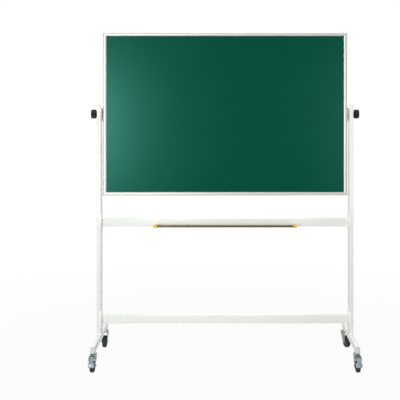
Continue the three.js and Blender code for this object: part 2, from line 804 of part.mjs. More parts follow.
const stand = new THREE.Group();
addBoard(stand);
for (const sideName of Object.keys(sides)) {
  addPivot(stand, sideName);
  addPost(stand, sideName);
  addFoot(stand, sideName);
  for (const endName of Object.keys(ends)) {
    addCaster(stand, endName, sideName);
  }
}
addCrossbar(stand, 'upper', upperBarCentre);
addCrossbar(stand, 'lower', lowerBarCentre);
addTray(stand);

// The casters trail forwards, so the footprint's centre lies in front of the posts
const footprint = new THREE.Box3().setFromObject(stand, true);
stand.position.y = -(footprint.min.y + footprint.max.y) / 2;

const chalkboard = new THREE.Group();
chalkboard.add(stand);
export default chalkboard;
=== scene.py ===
# A two-sided pivoting chalkboard on a mobile stand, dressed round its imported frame.
# Shapes are worked out in millimetres in the frame's own axes and put into the meshes in metres.
import json
import math

import bmesh
import bpy
import numpy as np
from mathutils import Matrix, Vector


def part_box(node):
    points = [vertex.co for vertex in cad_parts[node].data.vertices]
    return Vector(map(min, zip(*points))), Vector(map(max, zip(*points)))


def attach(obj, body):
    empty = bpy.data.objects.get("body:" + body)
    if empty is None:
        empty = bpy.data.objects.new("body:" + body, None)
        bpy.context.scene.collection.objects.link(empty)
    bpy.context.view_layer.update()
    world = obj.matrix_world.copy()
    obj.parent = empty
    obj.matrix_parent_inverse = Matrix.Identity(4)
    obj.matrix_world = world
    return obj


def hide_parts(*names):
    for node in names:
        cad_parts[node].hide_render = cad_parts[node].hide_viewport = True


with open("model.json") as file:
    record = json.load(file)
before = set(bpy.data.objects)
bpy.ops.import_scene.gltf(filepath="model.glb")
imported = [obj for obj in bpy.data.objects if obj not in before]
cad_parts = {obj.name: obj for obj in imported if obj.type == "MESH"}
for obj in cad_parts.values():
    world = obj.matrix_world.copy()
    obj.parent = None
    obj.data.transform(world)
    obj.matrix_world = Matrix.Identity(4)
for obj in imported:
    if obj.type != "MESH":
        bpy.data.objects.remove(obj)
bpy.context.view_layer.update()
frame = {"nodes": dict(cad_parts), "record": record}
metre = 1000.0  # millimetres
print("frame loaded:", len(frame["nodes"]), "nodes")


# Small tools for materials

noiseSpan = {"From Min": 0.3, "From Max": 0.7}  # nearly all of a noise texture's values lie in between
coatingIor = 1.5  # glass, paint and plastics alike
lightReach = {"Subsurface Radius": (1.0, 0.6, 0.15), "Subsurface Scale": 0.006}  # red goes 6 mm deep


def srgb(code):
    # an sRGB hex colour as the linear colour that a shader takes
    channels = np.array([int(code[at:at + 2], 16) for at in (1, 3, 5)]) / 255
    linear = np.where(channels <= 0.04045, channels / 12.92, ((channels + 0.055) / 1.055) ** 2.4)
    return (*linear.tolist(), 1.0)


def addNode(tree, kind, inputs=None, **settings):
    # one node with its settings; an input is either a value or the output that it is linked to
    node = tree.nodes.new(kind)
    for name, value in settings.items():
        setattr(node, name, value)
    for name, value in (inputs or {}).items():
        if isinstance(value, bpy.types.NodeSocket):
            tree.links.new(value, node.inputs[name])
        else:
            node.inputs[name].default_value = value
    return node


def emptyTree(owner):
    owner.use_nodes = True
    owner.node_tree.nodes.clear()
    return owner.node_tree


def startMaterial(name, surface):
    material = bpy.data.materials.new(name)
    tree = emptyTree(material)
    shader = addNode(tree, "ShaderNodeBsdfPrincipled", surface)
    addNode(tree, "ShaderNodeOutputMaterial", {"Surface": shader.outputs["BSDF"]})
    return material, tree, shader


def perMetre(millimetres):
    # how many features of that size fit in a metre, which is what a texture's scale takes
    return metre / millimetres


def finishSurface(tree, shader, look, tint, polish, height):
    # one pattern takes the colour from the look's first to its second, one the roughness likewise, and one
    # raises the surface by the look's depth, in millimetres
    first, second = look["colours"]
    smoothest, roughest = look["roughness"]
    colour = addNode(tree, "ShaderNodeMix", {0: tint, 6: srgb(first), 7: srgb(second)}, data_type="RGBA")
    rough = addNode(tree, "ShaderNodeMapRange", {"Value": polish, **noiseSpan,
                                                 "To Min": smoothest, "To Max": roughest})
    bump = addNode(tree, "ShaderNodeBump", {"Height": height, "Strength": look["strength"],
                                            "Distance": look["depth"] / metre})
    tree.links.new(colour.outputs[2], shader.inputs["Base Color"])
    tree.links.new(rough.outputs[0], shader.inputs["Roughness"])
    tree.links.new(bump.outputs[0], shader.inputs["Normal"])


# Vitreous enamel on steel for chalk: fired glass with a fine matt tooth. It gives a deep green with a wide
# soft sheen, and old chalk that never quite wipes off lifts it a little in cloudy patches.
chalkEnamelLook = {
    "colours": ("#004632", "#004b37"), "sheenTint": "#8afff0", "gloss": 0.27, "roughness": (0.28, 0.31),
    "patches": 260, "wipeLength": 420, "wipeWidth": 38, "wipeSlope": 24, "hazeFrom": 0.2, "hazeTo": 0.5,
    "mostHaze": 0.55, "tooth": 1.1, "strength": 0.35, "depth": 0.06,
}


def makeChalkEnamel(look):
    # patches times slanting wipes give the haze, and the patches alone vary the roughness
    material, tree, shader = startMaterial("vitreousEnamelGreen", {
        "IOR": coatingIor, "Specular IOR Level": look["gloss"], "Specular Tint": srgb(look["sheenTint"])})
    place = addNode(tree, "ShaderNodeTexCoord").outputs["Object"]
    patches = addNode(tree, "ShaderNodeTexNoise", {"Vector": place, "Scale": perMetre(look["patches"]),
                                                   "Detail": 3.0}).outputs[0]
    along = addNode(tree, "ShaderNodeMapping", {"Vector": place,
                                                "Rotation": (0, math.radians(look["wipeSlope"]), 0),
                                                "Scale": (look["wipeWidth"] / look["wipeLength"], 1, 1)})
    wiped = addNode(tree, "ShaderNodeTexNoise", {"Vector": along.outputs["Vector"],
                                                 "Scale": perMetre(look["wipeWidth"]), "Detail": 2.0})
    both = addNode(tree, "ShaderNodeMath", {0: patches, 1: wiped.outputs[0]}, operation="MULTIPLY")
    haze = addNode(tree, "ShaderNodeMapRange", {"Value": both.outputs[0], "From Min": look["hazeFrom"],
                                                "From Max": look["hazeTo"], "To Max": look["mostHaze"]})
    tooth = addNode(tree, "ShaderNodeTexNoise", {"Vector": place, "Scale": perMetre(look["tooth"]),
                                                 "Detail": 2.0}).outputs[0]
    finishSurface(tree, shader, look, haze.outputs[0], patches, tooth)
    return material


# Extruded aluminium, etched and anodised: a satin metal with faint lines from the die that run the length of
# the bar. The piece's own map holds the way round its profile in u and the way along it in v, in metres. The
# real lines are 0.05 to 0.2 mm apart, which wouldn't show, so they are drawn at 0.6 mm.
extrudedLooks = {
    # clear anodising on an etched bar: pale and soft, without a sharp reflection
    "anodisedAluminium": {"colours": ("#d6d6d2", "#e6e6e2"), "lineWidth": 0.6, "lineLength": 260,
                          "roughness": (0.46, 0.58), "strength": 0.25, "depth": 0.05},
    # bronze anodising on a bright bar: olive brown, and glossier than the frame
    "bronzeAnodised": {"colours": ("#84775a", "#978a6c"), "lineWidth": 0.6, "lineLength": 200,
                       "roughness": (0.18, 0.27), "strength": 0.25, "depth": 0.05},
}


def makeExtruded(name, look):
    # one noise, drawn out along the bar, for the colour, the roughness and the lines
    material, tree, shader = startMaterial(name, {"Metallic": 1.0})
    ownMap = addNode(tree, "ShaderNodeUVMap", uv_map="aroundAndAlong").outputs["UV"]
    stretch = addNode(tree, "ShaderNodeMapping", {"Vector": ownMap,
                                                  "Scale": (1, look["lineWidth"] / look["lineLength"], 1)})
    lines = addNode(tree, "ShaderNodeTexNoise", {"Vector": stretch.outputs["Vector"],
                                                 "Scale": perMetre(look["lineWidth"]),
                                                 "Detail": 3.0}).outputs[0]
    finishSurface(tree, shader, look, lines, lines, lines)
    return material


# Metals that aren't extruded: plated steel, whose film goes a little dull and yellow in clouds over the fine
# marks of its making, and stamped aluminium
metalLooks = {
    # turned and headed steel, bright zinc plated: bluish and clear, the glossiest of the small parts
    "zincPlatedSteel": {"colours": ("#98a19e", "#bcc6c6"), "patch": 14, "grain": 1.2,
                        "roughness": (0.26, 0.4)},
    # pressed steel sheet, zinc plated: greyer and duller than the turned parts
    "zincPlatedPressing": {"colours": ("#7f867c", "#a5aca4"), "patch": 9, "grain": 1.6,
                           "roughness": (0.42, 0.56)},
    # pressed pedals, zinc plated and passivated blue: pale blue grey
    "blueZincPlate": {"colours": ("#8a979d", "#a6b3b8"), "patch": 16, "grain": 1.1,
                      "roughness": (0.46, 0.58)},
    # stamped aluminium plate, etched and anodised: pale and satin, close to the frame
    "anodisedPlate": {"colours": ("#d0d2cd", "#e0e1dd"), "patch": 20, "grain": 0.9,
                      "roughness": (0.4, 0.52)},
}

# Finishes of one colour with a fine surface: fired enamel with its waves, sprayed and baked powder with its
# orange peel, moulded plastics with their spark-eroded texture, rubber with dust in its pores, pressed fibre
plainLooks = {
    # gloss vitreous enamel for dry-wipe markers: white glass, nearly mirror smooth, with the long low waves
    # of enamelled sheet and a faint grey where ink has been wiped
    "vitreousEnamelWhite": {"colours": ("#eceeee", "#e2e5e7"), "patch": 180, "grain": 45,
                            "roughness": (0.12, 0.2), "depth": 0.15, "strength": 0.2,
                            "patchDetail": 3.0, "grainDetail": 1.0},
    # polyester powder coat: white, half gloss, with orange peel about 1.5 mm across
    "powderCoatWhite": {"colours": ("#eef0ec", "#e8ebe6"), "patch": 60, "grain": 1.5,
                        "roughness": (0.3, 0.38), "depth": 0.07},
    # moulded polypropylene caps: a greyer white than the paint, and duller
    "polypropyleneGrey": {"colours": ("#d3d6d1", "#cbcfc9"), "patch": 12, "grain": 0.8,
                          "roughness": (0.42, 0.55), "depth": 0.06},
    # glass-filled nylon knobs: black, satin, with a fine moulded grain
    "nylonBlack": {"colours": ("#0a0b0a", "#101110"), "patch": 9, "grain": 0.7,
                   "roughness": (0.36, 0.5), "depth": 0.09, "gloss": 0.25},
    # turned natural nylon washers: creamy and a little waxy
    "nylonNatural": {"colours": ("#e4e1d4", "#dad6c6"), "patch": 8, "grain": 0.8,
                     "roughness": (0.38, 0.5), "depth": 0.04},
    # moulded ABS tray ends: warm yellow, half gloss, with light going a little way in
    "absYellow": {"colours": ("#ffb400", "#fdac00"), "patch": 10, "grain": 0.8,
                  "roughness": (0.32, 0.42), "depth": 0.05, "gloss": 0.3, "lightInside": 0.6},
    # thermoplastic rubber tyres: dark grey and matt, with pale dust on them
    "rubberGrey": {"colours": ("#262d2b", "#303836"), "patch": 7, "grain": 0.9,
                   "roughness": (0.62, 0.8), "depth": 0.12, "gloss": 0.25},
    # moulded polypropylene wheel centres: mid grey
    "polypropyleneWheel": {"colours": ("#5c6363", "#505757"), "patch": 9, "grain": 0.8,
                           "roughness": (0.4, 0.55), "depth": 0.06},
    # pressed wood fibre of the board's core: brown and rough
    "woodFibreBoard": {"colours": ("#a98862", "#8a6b48"), "patch": 3, "grain": 1.0,
                       "roughness": (0.8, 0.95), "depth": 0.2},
}

# what a look has where it says nothing else
usualMetal = {"patchDetail": 4.0, "patchRoughness": 0.6, "grainDetail": 2.0, "strength": 0.2, "depth": 0.06}
usualPlain = {"patchDetail": 4.0, "patchRoughness": 0.5, "grainDetail": 2.0, "strength": 0.5, "gloss": 0.5,
              "lightInside": 0.0}


def makeMottled(name, look, surface):
    # patches for the colour and the roughness, and a finer grain for the relief
    material, tree, shader = startMaterial(name, surface)
    place = addNode(tree, "ShaderNodeTexCoord").outputs["Object"]
    patch = addNode(tree, "ShaderNodeTexNoise", {"Vector": place, "Scale": perMetre(look["patch"]),
                                                 "Detail": look["patchDetail"],
                                                 "Roughness": look["patchRoughness"]}).outputs[0]
    grain = addNode(tree, "ShaderNodeTexNoise", {"Vector": place, "Scale": perMetre(look["grain"]),
                                                 "Detail": look["grainDetail"]}).outputs[0]
    finishSurface(tree, shader, look, patch, patch, grain)
    return material


def makeMetal(name, look):
    return makeMottled(name, {**usualMetal, **look}, {"Metallic": 1.0})


def makePlain(name, look):
    look = {**usualPlain, **look}
    return makeMottled(name, look, {
        "IOR": coatingIor, "Specular IOR Level": look["gloss"],
        "Subsurface Weight": look["lightInside"], **lightReach})


finishes = {"vitreousEnamelGreen": makeChalkEnamel(chalkEnamelLook)}
for make, looks in ((makeExtruded, extrudedLooks), (makeMetal, metalLooks), (makePlain, plainLooks)):
    finishes.update({name: make(name, look) for name, look in looks.items()})
print("materials made:", len(finishes))


# Small tools for shapes. An outline is points x 2, loops are stations x points x 3, and a shell is its
# points and its faces. A softness is a length for each corner of a profile, or one for them all.

# an edge that turns by more degrees than smoothUpTo stays sharp, or is rounded where the piece has a bevel
smoothUpTo = {"ownShape": 32, "cadNode": 35}
mergeWithin = {"ownShape": 1e-6, "cadNode": 2e-6}  # metres
flatWithin = 1  # degrees between the facets of a CAD node that make one flat face
smallRound = 32  # segments of a small turned shape


def boxOf(node):
    low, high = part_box(node)
    return np.array(low) * metre, np.array(high) * metre


def edgeOf(node, axis, side):
    # how far a node reaches along an axis: its high edge for side 1, its low edge for side -1
    low, high = boxOf(node)
    return (high if side > 0 else low)["xyz".index(axis)]


def onCircle(angles):
    # (cos t, sin t) for each angle
    return np.stack([np.cos(angles), np.sin(angles)], axis=-1)


def roundedOutline(width, height, radius, steps=6):
    # a rectangle's corner centres, plus a quarter turn of the radius round each
    quarter = np.linspace(0, math.pi / 2, steps + 1)
    arcs = radius * onCircle(quarter + math.pi / 2 * np.arange(4)[:, None])
    centres = np.array([[1, 1], [-1, 1], [-1, -1], [1, -1]]) * [width / 2 - radius, height / 2 - radius]
    return (centres[:, None] + arcs).reshape(-1, 2)


def quadratic(start, control, end, t):
    # (1-t)^2 start + 2t(1-t) control + t^2 end
    return (1 - t) ** 2 * start + 2 * t * (1 - t) * control + t ** 2 * end


def softened(points, softness, steps=4):
    # each corner of a closed outline becomes the control of a quadratic curve, which starts and ends its
    # softness away from it on its two sides, or halfway along a side that is too short
    corners = np.asarray(points, float)
    softness = np.broadcast_to(np.asarray(softness, float), len(corners))[:, None]

    def towards(neighbour):
        side = neighbour - corners
        length = np.linalg.norm(side, axis=1, keepdims=True)
        return corners + side / length * np.minimum(softness, length / 2)

    before, after = towards(np.roll(corners, 1, axis=0)), towards(np.roll(corners, -1, axis=0))
    t = np.linspace(0, 1, steps + 1)[None, :, None]
    return quadratic(before[:, None], corners[:, None], after[:, None], t).reshape(-1, 2)


def carry(outlines, stations, axis, centre=(0, 0, 0)):
    # each outline is moved to its station along the axis: (y, z) along x, (x, z) along y, (x, y) along z
    stations = np.asarray(stations, float)
    outlines = np.broadcast_to(outlines, (len(stations),) + np.shape(outlines)[-2:])
    along = np.broadcast_to(stations[:, None], outlines.shape[:2])
    order = {"x": [2, 0, 1], "y": [0, 2, 1], "z": [0, 1, 2]}[axis]
    loops = np.stack([outlines[..., 0], outlines[..., 1], along], axis=-1)[..., order]
    return loops + np.asarray(centre, float)


def turned(profile, axis, centre, segments):
    # a profile of (radius, height) points, each of which becomes a circle round the axis at its height
    profile = np.asarray(profile, float)
    angles = np.linspace(0, 2 * math.pi, segments, endpoint=False) + math.pi / segments
    return carry(profile[:, :1, None] * onCircle(angles), profile[:, 1], axis, centre)


def shell(loops, ring=False):
    # quads between neighbouring points of neighbouring loops; the ends are closed by one face each, or, as a
    # ring, the last loop is joined to the first
    rows, columns = loops.shape[:2]
    row = np.arange(rows if ring else rows - 1)[:, None] * columns
    nextRow = (row + columns) % (rows * columns)
    column = np.arange(columns)
    nextColumn = (column + 1) % columns
    faces = np.stack([row + column, row + nextColumn, nextRow + nextColumn, nextRow + column], axis=-1)
    faces = faces.reshape(-1, 4).tolist()
    if not ring:
        faces += [column[::-1].tolist(), (column + (rows - 1) * columns).tolist()]
    return loops.reshape(-1, 3), faces


def aroundAndAlong(loops, axis):
    # for each point: how far round its outline it lies, and how far along the axis, in metres
    steps = np.linalg.norm(np.diff(loops[0], axis=0, prepend=loops[0][:1]), axis=1)
    around = np.broadcast_to(np.cumsum(steps), loops.shape[:2])
    return np.stack([around, loops[..., "xyz".index(axis)]], axis=-1).reshape(-1, 2) / metre


def dress(name, mesh, finish, body, replaces, bevel, smooth):
    # a mesh becomes a piece: doubles merged, faces pointing out, edges rounded or sharp, and with its finish,
    # its body and the nodes that it stands for
    solid = bmesh.new()
    solid.from_mesh(mesh)
    bmesh.ops.remove_doubles(solid, verts=solid.verts, dist=mergeWithin["ownShape"])
    bmesh.ops.recalc_face_normals(solid, faces=solid.faces)
    solid.to_mesh(mesh)
    solid.free()
    mesh.polygons.foreach_set("use_smooth", [True] * len(mesh.polygons))
    mesh.materials.clear()
    mesh.materials.append(finishes[finish])
    piece = bpy.data.objects.new(name, mesh)
    bpy.context.scene.collection.objects.link(piece)
    if bevel:
        rounding = piece.modifiers.new("roundedEdges", "BEVEL")
        rounding.width = bevel / metre
        rounding.segments = 2
        rounding.limit_method = "ANGLE"
        rounding.angle_limit = math.radians(smooth)
        rounding.harden_normals = True
    else:
        mesh.set_sharp_from_angle(angle=math.radians(smooth))
    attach(piece, body)
    if replaces:
        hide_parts(*replaces)
    return piece


def addPiece(name, shells, finish, body, replaces=(), bevel=0.0, ownMap=None,
             smooth=smoothUpTo["ownShape"]):
    # the shells become one mesh, in metres, and that mesh a piece
    starts = np.cumsum([0] + [len(points) for points, _ in shells])
    points = np.concatenate([points for points, _ in shells]) / metre
    faces = [[corner + int(start) for corner in face]
             for start, (_, own) in zip(starts, shells) for face in own]
    mesh = bpy.data.meshes.new(name)
    mesh.from_pydata(points.tolist(), [], faces)
    if ownMap is not None:
        corners = np.empty(len(mesh.loops), int)
        mesh.loops.foreach_get("vertex_index", corners)
        mesh.uv_layers.new(name="aroundAndAlong").data.foreach_set("uv", ownMap[corners].ravel())
    return dress(name, mesh, finish, body, replaces, bevel, smooth)


def refined(name, node, finish, body, bevel):
    # a copy of a CAD node whose flat faces are whole again and whose edges are rounded
    mesh = frame["nodes"][node].data.copy()
    solid = bmesh.new()
    solid.from_mesh(mesh)
    bmesh.ops.remove_doubles(solid, verts=solid.verts, dist=mergeWithin["cadNode"])
    bmesh.ops.dissolve_limit(solid, angle_limit=math.radians(flatWithin), verts=solid.verts,
                             edges=solid.edges)
    solid.to_mesh(mesh)
    solid.free()
    return dress(name, mesh, finish, body, [node], bevel, smoothUpTo["cadNode"])


def drill(piece, cutters):
    # takes closed shells out of a piece, and keeps the cut mesh in place of the whole one
    tool = addPiece("drill", cutters, "zincPlatedSteel", "stand")
    cut = piece.modifiers.new("bores", "BOOLEAN")
    cut.object = tool
    cut.operation = "DIFFERENCE"
    cut.solver = "EXACT"
    bpy.context.view_layer.update()
    whole = piece.data
    piece.data = bpy.data.meshes.new_from_object(piece.evaluated_get(bpy.context.evaluated_depsgraph_get()))
    piece.modifiers.clear()
    bpy.data.meshes.remove(whole)
    bpy.data.objects.remove(tool)
    piece.data.polygons.foreach_set("use_smooth", [True] * len(piece.data.polygons))
    piece.data.set_sharp_from_angle(angle=math.radians(smoothUpTo["ownShape"]))


def recoat(node, finish):
    # a CAD node that keeps its own mesh and gets a finish
    for held in frame["nodes"][node].material_slots:
        held.material = finishes[finish]


sideNames = {"left": -1, "right": 1}
endNames = {"front": -1, "rear": 1}
boardLow, boardHigh = boxOf("frame_left")
pivot = np.array([0, (boardLow[1] + boardHigh[1]) / 2, (boardLow[2] + boardHigh[2]) / 2])
halfBoard = {"width": -boardLow[0],
             "height": (edgeOf("frame_top", "z", 1) - edgeOf("frame_bottom", "z", -1)) / 2}

# Board: the two enamelled sheets and the core keep their meshes
recoat("chalk_face", "vitreousEnamelGreen")
recoat("marker_face", "vitreousEnamelWhite")
recoat("board_core", "woodFibreBoard")

# Frame bar: its profile has x from the outer edge inwards and y through the board's thickness
frameBar = {
    "face": 20, "depth": 24, "flatSide": 14, "crest": 9, "shoulder": 16, "wall": 1.6, "groove": 7.3,
    "lipEdge": 0.5, "mitreGap": 0.12, "curveSteps": 9,
}


def frameProfile(bar):
    # two quadratic curves make each half's dome, from the flat side over the crest down to the lip; the
    # groove runs inwards from the lip, and the back half mirrors the front
    crown, lip = bar["depth"] / 2, bar["groove"] + bar["wall"]
    t = np.linspace(0, 1, bar["curveSteps"])[:, None]
    side, sideControl, crest, shoulder, end = np.array([
        [0, -bar["flatSide"] / 2], [0, -crown], [bar["crest"], -crown], [bar["shoulder"], -crown],
        [bar["face"], -lip]])
    outer, inner = quadratic(side, sideControl, crest, t), quadratic(crest, shoulder, end, t)
    edge = np.array([[bar["face"], -bar["groove"] - bar["lipEdge"]],
                     [bar["face"] - bar["lipEdge"], -bar["groove"]],
                     [bar["wall"], -bar["groove"]]])
    front = np.concatenate([outer, inner[1:], edge])
    return np.concatenate([front, front[::-1] * [1, -1]])


def addFrameBars(bar):
    # the left bar runs up, and each of the others is the same bar turned by a further quarter about the pivot
    profile = frameProfile(bar)
    profile = np.roll(profile, len(profile) // 2, axis=0)  # the map's seam lies in the groove
    for turn, name in enumerate(["left", "top", "right", "bottom"]):
        upright = turn % 2 == 0
        half, across = ((halfBoard["height"], halfBoard["width"]) if upright
                        else (halfBoard["width"], halfBoard["height"]))
        reach = half - bar["mitreGap"] - profile[:, 0]
        ends = np.stack([np.stack([profile[:, 0] - across, profile[:, 1], end * reach], axis=-1)
                         for end in (-1, 1)])
        angle = turn * math.pi / 2
        turnAbout = np.array([[math.cos(angle), 0, -math.sin(angle)], [0, 1, 0],
                              [math.sin(angle), 0, math.cos(angle)]])
        loops = ends @ turnAbout + pivot
        addPiece(f"frame_bar_{name}", [shell(loops)], "anodisedAluminium", "board", [f"frame_{name}"],
                 ownMap=aroundAndAlong(loops, "z" if upright else "x"))


addFrameBars(frameBar)
print("board made")

# Pivot hardware: flanges and index discs are stamped plates, so their edges are only just rounded
stampedEdge = 0.4
studBore = {"radius": 5.3, "segments": 40}
washerRing = {"softness": 0.35, "edgeSteps": 3, "segments": 64}
flangeScrew = {"radius": 5.5, "height": 1.6, "fromPivot": 36, "dome": ((1, 0), (0.86, 0.6), (0.45, 1))}


def addWasher(sideName):
    low, high = boxOf(f"friction_washer_{sideName}")
    bore, radius = studBore["radius"], (high[2] - low[2]) / 2
    profile = softened([[bore, low[0]], [radius, low[0]], [radius, high[0]], [bore, high[0]]],
                       washerRing["softness"], washerRing["edgeSteps"])
    ring = shell(turned(profile, "x", [0, pivot[1], pivot[2]], washerRing["segments"]), ring=True)
    addPiece(f"washer_ring_{sideName}", [ring], "nylonNatural", "stand", [f"friction_washer_{sideName}"])


def addFlangeScrews(sideName, side):
    # two low domes, whose points are shares of the head's radius and height
    face = edgeOf(f"pivot_flange_{sideName}", "x", side)
    dome = np.array(flangeScrew["dome"]) * [flangeScrew["radius"], side * flangeScrew["height"]]
    heads = [shell(turned(dome, "x", [face, pivot[1], pivot[2] + end * flangeScrew["fromPivot"]], smallRound))
             for end in (-1, 1)]
    addPiece(f"flange_screws_{sideName}", heads, "zincPlatedSteel", "board")


knob = {
    "radius": 27.5, "length": 38, "bore": 5.6, "neckRadius": 15, "neckLength": 7, "neckTaper": 0.6,
    "lobes": 8, "flute": 5, "fluteFade": 3, "dishRadius": 13, "dishDepth": 1.6, "dishSlope": 2,
    "dishCentre": 1.5, "softness": (0, 0.8, 1.5, 2.5, 6, 1, 1, 0), "edgeSteps": 6, "segments": 160,
    "smooth": 50,
}


def knobLoops(side, innerEnd):
    # a softened profile turned about the pivot, whose radius is drawn in between the lobes by
    # flute (1 - cos(lobes x angle)) / 2, fading out over the neck and over the dish in its end
    grip, length = knob["radius"], knob["length"]
    neck, neckLength = knob["neckRadius"], knob["neckLength"]
    dish, dishFloor = knob["dishRadius"], length - knob["dishDepth"]
    corners = [[knob["bore"], 0], [neck, 0], [neck + knob["neckTaper"], neckLength], [grip, neckLength],
               [grip, length], [dish, length], [dish - knob["dishSlope"], dishFloor],
               [knob["dishCentre"], dishFloor]]
    profile = softened(corners, knob["softness"], knob["edgeSteps"])
    fade = np.clip((profile[:, 0] - neck) / (grip - neck - knob["fluteFade"]), 0, 1)
    fade = fade ** 2 * (3 - 2 * fade)
    angles = np.linspace(0, 2 * math.pi, knob["segments"], endpoint=False)
    drawnIn = knob["flute"] * (1 - np.cos(knob["lobes"] * angles)) / 2
    radius = profile[:, :1] - fade[:, None] * drawnIn
    return carry(radius[..., None] * onCircle(angles), innerEnd + side * profile[:, 1], "x",
                 [0, pivot[1], pivot[2]])


for sideName, side in sideNames.items():
    refined(f"flange_plate_{sideName}", f"pivot_flange_{sideName}", "anodisedPlate", "board", stampedEdge)
    refined(f"index_plate_{sideName}", f"index_disc_{sideName}", "anodisedPlate", "board", stampedEdge)
    addWasher(sideName)
    grip = knobLoops(side, edgeOf(f"knob_{sideName}", "x", -side))
    addPiece(f"knob_grip_{sideName}", [shell(grip)], "nylonBlack", f"knob_{sideName}", [f"knob_{sideName}"],
             smooth=knob["smooth"])
    recoat(f"pivot_stud_{sideName}", "zincPlatedSteel")
    recoat(f"pivot_bush_{sideName}", "zincPlatedSteel")
    addFlangeScrews(sideName, side)
print("pivots made")

# Bolts, for the brackets and the axles
boltHead = {"dome": 0.6, "rim": 0.86, "washerHeight": 1.2, "washerEdge": 0.2, "edge": 0.3}


def bolt(axis, place, outwards, across, height, washer=0):
    # a hexagon head that narrows a little at its rim, on a turned washer where one is wanted
    hexagon = across / math.sqrt(3) * onCircle(np.linspace(0, 2 * math.pi, 6, endpoint=False))
    thick, edge = boltHead["washerHeight"], boltHead["washerEdge"]
    seat = thick if washer else 0
    levels = np.array([seat, seat + height - boltHead["dome"], seat + height])
    narrowing = np.array([1, 1, boltHead["rim"]])[:, None, None]
    shells = [shell(carry(narrowing * hexagon, outwards * levels, axis, place))]
    if washer:
        profile = [[washer / 2, 0], [washer / 2, outwards * (thick - edge)],
                   [washer / 2 - edge, outwards * thick]]
        shells.append(shell(turned(profile, axis, place, smallRound)))
    return shells


# Stand: rectangular tube with its real wall, moulded caps that plug its ends, and a weld round each post
tubeShape = {"corner": 3, "rim": 0.35, "innerCorner": 0.6, "rimTaper": 0.6}  # the last two are shares
tubeWalls = {"post": 1.5, "foot": 2, "crossbar": 1.5}
capShape = {
    "thickness": 3.05, "edge": 1.3, "edgeCorner": 0.9, "plugLength": 14, "plugGap": 0.3,
    "crownInset": 4.5, "crownCorner": 1.0, "crownRise": 0.25, "edgePoints": 5, "smooth": 40,
}
weldBead = {"radius": 1.7, "ripple": 0.25, "pitch": 3.4, "rise": 0.4, "cornerSteps": 10, "steps": 260,
            "segments": 10, "smooth": 80}
stemBore = {"radius": 5.3, "depth": 6}
drillBeyond = 3  # how far a bore's cutter stands out of what it cuts
bracketEdge = 0.6
bracketBolt = {"fromMiddle": 20, "across": 10, "height": 4, "washer": 16}


def tube(low, high, axis, wall):
    # the outline is carried along outside and back inside as one ring, with a small flat on each rim
    corner, rim = tubeShape["corner"], tubeShape["rim"]
    along = "xyz".index(axis)
    centre = (low + high) / 2
    centre[along] = 0
    width, height = np.delete(high - low, along)
    trim = rim * tubeShape["rimTaper"]
    insets = [(trim, trim), (0, 0), (0, 0), (trim, trim)] + [(wall, wall * tubeShape["innerCorner"])] * 4
    outlines = np.stack([roundedOutline(width - 2 * inset, height - 2 * inset, corner - tighter)
                         for inset, tighter in insets])
    start, end = low[along], high[along]
    stations = [start, start + rim, end - rim, end, end, end - rim, start + rim, start]
    return shell(carry(outlines, stations, axis, centre), ring=True)


def cap(width, height, wall, axis, centre, outwards):
    # a plug inside the tube's wall, then outlines that draw in by r (1 - cos t) at r sin t up to a low crown
    corner, edge, thickness = tubeShape["corner"], capShape["edge"], capShape["thickness"]
    t = np.linspace(0, math.pi / 2, capShape["edgePoints"])
    rows = [(wall + capShape["plugGap"], corner / 2)] * 2 + [(0, corner)]
    rows += [(trim, corner - trim * capShape["edgeCorner"]) for trim in edge * (1 - np.cos(t))]
    rows += [(capShape["crownInset"], capShape["crownCorner"])]
    outlines = np.stack([roundedOutline(width - 2 * inset, height - 2 * inset, radius)
                         for inset, radius in rows])
    stations = np.concatenate([[-capShape["plugLength"], 0, 0], thickness - edge + edge * np.sin(t),
                               [thickness + capShape["crownRise"]]])
    return shell(carry(outlines, outwards * stations, axis, centre))


def weldRound(width, height, centre):
    # a bead along a rounded outline, whose radius is r + ripple cos(2 pi s / pitch) as the weld was laid
    path = roundedOutline(width, height, tubeShape["corner"], weldBead["cornerSteps"])
    path = np.concatenate([path, path[:1]])
    lengths = np.concatenate([[0], np.cumsum(np.linalg.norm(np.diff(path, axis=0), axis=1))])
    places = np.linspace(0, lengths[-1], weldBead["steps"], endpoint=False)
    spine = np.stack([np.interp(places, lengths, path[:, at]) for at in (0, 1)], axis=-1)
    ahead = np.roll(spine, -1, axis=0) - np.roll(spine, 1, axis=0)
    outward = np.stack([ahead[:, 1], -ahead[:, 0]], axis=-1)
    outward /= np.linalg.norm(outward, axis=1, keepdims=True)
    radius = weldBead["radius"] + weldBead["ripple"] * np.cos(2 * math.pi * places / weldBead["pitch"])
    angles = np.linspace(0, 2 * math.pi, weldBead["segments"], endpoint=False)
    flat = spine[:, None] + (radius[:, None] * np.cos(angles))[..., None] * outward[:, None]
    rise = radius[:, None] * np.sin(angles)
    return shell(np.concatenate([flat, rise[..., None]], axis=-1) + np.asarray(centre, float), ring=True)


def addPost(sideName):
    # the tube with the pivot's bore through it, and its cap
    low, high = boxOf(f"post_{sideName}")
    middle = (low + high) / 2
    width, depth = (high - low)[:2]
    wall = tubeWalls["post"]
    post = addPiece(f"post_tube_{sideName}", [tube(low, high, "z", wall)], "powderCoatWhite", "stand",
                    [f"post_{sideName}"])
    radius = studBore["radius"]
    bore = [[radius, low[0] - drillBeyond], [radius, high[0] + drillBeyond]]
    drill(post, [shell(turned(bore, "x", [0, pivot[1], pivot[2]], studBore["segments"]))])
    addPiece(f"post_end_{sideName}", [cap(width, depth, wall, "z", [middle[0], middle[1], high[2]], 1)],
             "polypropyleneGrey", "stand", [f"post_cap_{sideName}"], smooth=capShape["smooth"])


